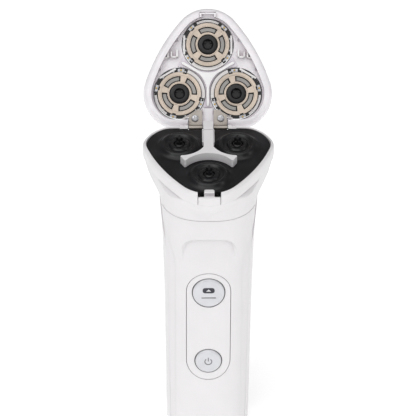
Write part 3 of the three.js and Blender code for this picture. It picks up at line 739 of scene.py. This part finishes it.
BASE_TOP, SHELL_TOP = 3.2, 119
HALF = [(3.2, 19.9), (30, 20.2), (70, 20.7), (96, 21.4), (108, 21.9), (122, 22.85)]
FRONT = [(3.2, -19.4), (30, -19.8), (70, -20.0), (96, -20.2), (107, -20.6), (118.4, -21.6)]
BACK = [(3.2, 17.4), (30, 18.0), (70, 19.2), (96, 21.0), (109, 22.4), (127, 23.9)]
SEAM = [(0, -11), (84, -11), (96, -10.3), (108, -7), (118, -2.5), (130, 1)]


def seam_angle(z, gap):
    """Degrees from the front to the shell seam."""
    half, front, back = along(HALF, z), along(FRONT, z), along(BACK, z)
    share = ((front + back) / 2 - along(SEAM, z) - gap) / ((back - front) / 2)
    share = min(max(share, 0), 1)
    return math.degrees(math.acos(share ** 1.25))


def hollow(x, z):
    """Depth of the flutes and of the thumb rest at a place on the front."""
    edge = 15.9 + 6 * smooth((z - 92) / 24)
    side = abs(x) - edge
    flute = 0.45 * smooth((side + 0.5) / 0.5) * (1 - smooth((side - 0.2) / 3.0))
    corner = max(abs(x) - 5.5, 0), max(z - 100.9, 0)
    inside = 1 - smooth((math.hypot(*corner) - 6.6) / 0.5)
    thumb = 1.7 * inside * smooth((z - 93.4) / 13.5)
    return flute + thumb


def skin(off, z, front_side=True):
    """A point on the handle's outside, off degrees round from the front."""
    half, front, back = along(HALF, z), along(FRONT, z), along(BACK, z)
    x, y = soft(off - 90, half, front, back)
    if front_side:
        mid = (front + back) / 2
        deep = hollow(x, z)
        out = Vector((x / half ** 2, (y - mid) / ((back - front) / 2) ** 2)).normalized()
        x, y = x - out.x * deep, y - out.y * deep
    return Vector((x, y, z))


def top_height(y):
    """The height at which the tray meets the handle."""
    return HINGE_Z + (NECK_W + math.sin(HEAD_TILT) * (y - HINGE_Y)) / math.cos(HEAD_TILT)


def thick_sheet(points, inner, across_n, up_n):
    """A closed sheet between two grids of points, row by row."""
    n = across_n + 1
    m = len(points)
    faces = [(j * n + i, j * n + i + 1, (j + 1) * n + i + 1, (j + 1) * n + i)
             for j in range(up_n) for i in range(across_n)]
    faces += [tuple(m + k for k in reversed(face)) for face in faces]
    rim = (list(range(n)) + [j * n + n - 1 for j in range(1, up_n + 1)]
           + [up_n * n + i for i in range(n - 2, -1, -1)] + [j * n for j in range(up_n - 1, 0, -1)])
    faces += [(a, m + a, m + b, b) for a, b in zip(rim, rim[1:] + rim[:1])]
    return mesh_from(points + inner, faces)


def shell(front_side, across_n, up_n):
    """One half of the handle from the base cap up to the tray, out from its middle line to the seams."""
    points = []
    for j in range(up_n + 1):
        t = j / up_n
        for i in range(across_n + 1):
            u = 2 * i / across_n - 1
            z = BASE_TOP + t * (SHELL_TOP - BASE_TOP)
            for _ in range(3):
                limit = seam_angle(z, 0.08 if front_side else -0.08)
                off = u * limit if front_side else 180 + u * (180 - limit)
                p = skin(off, z, front_side)
                z = BASE_TOP + t * (top_height(p.y) - BASE_TOP)
            points.append(skin(off, z, front_side))
    inner = [Vector((p.x * 0.9, p.y * 0.9 + 0.05, p.z)) for p in points]
    return thick_sheet(points, inner, across_n, up_n)


def pill(half, low, high, y0, y1, steps=40):
    """A plate in the x-z plane with two round ends."""
    ends = ((high - half, 0), (low + half, math.pi))
    turns = [(z, start + math.pi * i / steps) for z, start in ends for i in range(steps + 1)]
    outline = [(half * math.cos(t), z + half * math.sin(t)) for z, t in turns]
    return turn(prism(outline, -y1, -y0), 90, "X")


def disc(radius, z, y0, y1, sides=96):
    return shift(turn(rod(radius, -y1, -y0, sides=sides), 90, "X"), 0, 0, z)


piece("shell_front", cut(shell(True, 130, 150), pill(10.5, 32.1, 90.4, -30, -10)), BODY, "white_gloss",
      "body", "front_shell", angle=40)
piece("shell_rear", shell(False, 90, 60), BODY, "white_gloss", "body", "rear_shell", angle=40)


def panel_skin(x, z):
    """The y of the handle skin without its flutes."""
    half, front, back = along(HALF, z), along(FRONT, z), along(BACK, z)
    c = (abs(x) / half) ** 1.25
    return (front + back) / 2 - (back - front) / 2 * (math.sqrt(1 - c * c)) ** 0.8


def panel():
    """The long pill on the handle, following its skin, with two round openings."""
    r, low, high, up_n, across_n = 10.25, 32.35, 90.15, 90, 28
    points = []
    for j in range(up_n + 1):
        t = (1 - math.cos(math.pi * j / up_n)) / 2
        z = low + (high - low) * (0.5 * t + 0.5 * j / up_n)
        reach = r
        if z > high - r:
            reach = math.sqrt(max(r * r - (z - high + r) ** 2, 0.01))
        if z < low + r:
            reach = math.sqrt(max(r * r - (low + r - z) ** 2, 0.01))
        for i in range(across_n + 1):
            x = reach * (2 * i / across_n - 1)
            points.append(Vector((x, panel_skin(x, z) + 0.02, z)))
    shape = thick_sheet(points, [p + Vector((0, 1.8, 0)) for p in points], across_n, up_n)
    return cut(shape, disc(MODE_R + 0.45, MODE_Z, -30, -10), disc(POWER_R + 0.45, POWER_Z, -30, -10))


piece("panel", panel(), BODY, "white_gloss", "body", "control_panel", bevel=0.1)


def button(radius, z):
    """A round button with a soft edge and a stem."""
    face = turned([(0, 20.62), (radius * 0.5, 20.6), (radius - 1.1, 20.55), (radius - 0.45, 20.4),
                   (radius - 0.12, 20.15), (radius, 19.8), (radius, 18.9), (1.8, 18.9), (1.8, 17.9),
                   (0, 17.9)], 120)
    return shift(turn(face, 90, "X"), 0, 0, z)


piece("button_mode", button(MODE_R, MODE_Z), BODY, "button_silver", "mode_button", "mode_button")
piece("button_power", button(POWER_R, POWER_Z), BODY, "button_silver", "power_button", "power_button")
for name, radius, z in (("mode", MODE_R, MODE_Z), ("power", POWER_R, POWER_Z)):
    ring = turned([(radius + 0.12, 18.6), (radius + 0.12, 19.3), (radius + 0.42, 19.3),
                   (radius + 0.42, 18.6)], 120)
    piece("ring_" + name, shift(turn(ring, 90, "X"), 0, 0, z), BODY, "ring_dark", "body")


def on_face(outline, z, low=20.5, high=20.66):
    return shift(turn(prism(outline, low, high), 90, "X"), 0, 0, z)


def power_sign():
    """A ring open at the top, with a stroke through the opening."""
    ring = []
    for r, start, end in ((1.85, 38, 322), (1.4, 322, 38)):
        for k in range(41):
            t = math.radians(start + (end - start) * k / 40)
            ring.append((r * math.sin(t), r * math.cos(t)))
    stroke = [(-0.22, 0.15), (0.22, 0.15), (0.22, 2.15), (-0.22, 2.15)]
    return join(on_face(ring, POWER_Z), on_face(stroke, POWER_Z))


piece("power_sign", power_sign(), BODY, "mark_grey", "power_button")
badge = rounded([(-2.8, -1.4), (2.8, -1.4), (2.8, 1.4), (-2.8, 1.4)], 1.35)
mark = [(-1.2, -0.45), (1.2, -0.45), (0, 0.7)]
line = rounded([(-3.4, -0.25), (3.4, -0.25), (3.4, 0.25), (-3.4, 0.25)], 0.24)
piece("mode_badge", on_face(badge, MODE_Z + 1.6), BODY, "badge_dark", "mode_button")
piece("mode_mark", on_face(mark, MODE_Z + 1.6, 20.6, 20.69), BODY, "badge_light", "mode_button")
piece("mode_line", on_face(line, MODE_Z - 2.3), BODY, "mark_grey", "mode_button")

# ---- CAD pieces kept, with better finishes ----

KEPT = {
    "white_gloss": ["base_cap"],
    "grey_plastic": ["charging_socket", "mode_switch", "power_switch"],
    "brass": ["charging_pin_left", "charging_pin_right", "motor_pinion"],
    "board_green": ["circuit_board"],
    "battery_sleeve": ["battery"],
    "gear_nylon": ["gearbox_plate"] + ["drive_gear_" + head for head in HEADS],
    "steel": ["base_screw_left", "base_screw_right", "motor"] + ["spindle_spring_" + head for head in HEADS],
}
for finish, names in KEPT.items():
    for name in names:
        for slot_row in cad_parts[name].material_slots:
            slot_row.material = MATERIAL[finish]

# ---- floor, light and camera ----


def stage_floor():
    """A pale floor, lit a little from within so that it stays lighter than the object."""
    reach = 3
    corners = [(-reach, -reach, 0), (reach, -reach, 0), (reach, reach, 0), (-reach, reach, 0)]
    shape = mesh_from(corners, [(0, 1, 2, 3)])
    obj = bpy.data.objects.new("floor", shape)
    bpy.context.scene.collection.objects.link(obj)
    made = bpy.data.materials.new("floor")
    made.use_nodes = True
    shader = made.node_tree.nodes["Principled BSDF"]
    shader.inputs["Base Color"].default_value = (0.93, 0.93, 0.93, 1)
    shader.inputs["Roughness"].default_value = 0.7
    shader.inputs["Emission Color"].default_value = (1, 1, 1, 1)
    shader.inputs["Emission Strength"].default_value = 0.42
    shape.materials.append(made)


def lamp(name, place, target, size, power):
    """A soft rectangular light, aimed at a target."""
    light = bpy.data.lights.new(name, "AREA")
    light.shape, light.size, light.size_y = "RECTANGLE", size[0], size[1]
    light.energy = power
    obj = bpy.data.objects.new(name, light)
    bpy.context.scene.collection.objects.link(obj)
    obj.location = place
    obj.rotation_euler = (Vector(target) - Vector(place)).to_track_quat("-Z", "Y").to_euler()


stage_floor()
lamp("key", (-0.8, -0.9, 0.9), (0, 0, 0.1), (0.5, 0.7), 2.6)
lamp("front", (0.1, -1.6, 0.9), (0, 0, 0.12), (1.2, 0.8), 3.4)
lamp("strip", (0.75, -0.2, 0.3), (0, 0, 0.12), (0.15, 0.8), 0.8)
sun = bpy.data.objects.new("sky", bpy.data.lights.new("sky", "SUN"))
bpy.context.scene.collection.objects.link(sun)
sun.data.energy, sun.data.angle = 1.55, 1.3
sun.rotation_euler = (math.radians(22), math.radians(-8), 0)

world = bpy.data.worlds.new("studio")
bpy.context.scene.world = world
world.use_nodes = True
world.node_tree.nodes["Background"].inputs["Color"].default_value = (1, 1, 1, 1)
world.node_tree.nodes["Background"].inputs["Strength"].default_value = 0.22
bpy.context.scene.view_settings.view_transform = "Standard"

CAMERA_DISTANCE = 0.95
azimuth, elevation, roll = math.radians(-0.81), math.radians(27.56), math.radians(0.292)
target = Vector((-0.000219, 0, 0.11419))
level = Vector((-math.sin(azimuth), math.cos(azimuth), 0))
ahead = level * math.cos(elevation) - Vector((0, 0, math.sin(elevation)))
right = ahead.cross(Vector((0, 0, 1))).normalized()
up = right.cross(ahead)
right, up = right * math.cos(roll) + up * math.sin(roll), up * math.cos(roll) - right * math.sin(roll)
camera_data = bpy.data.cameras.new("camera")
camera_data.sensor_width, camera_data.lens = 36, 175.985
camera = bpy.data.objects.new("camera", camera_data)
bpy.context.scene.collection.objects.link(camera)
turned_to = Matrix((right, up, -ahead)).transposed().to_4x4()
camera.matrix_world = Matrix.Translation(target - ahead * CAMERA_DISTANCE) @ turned_to
bpy.context.scene.camera = camera
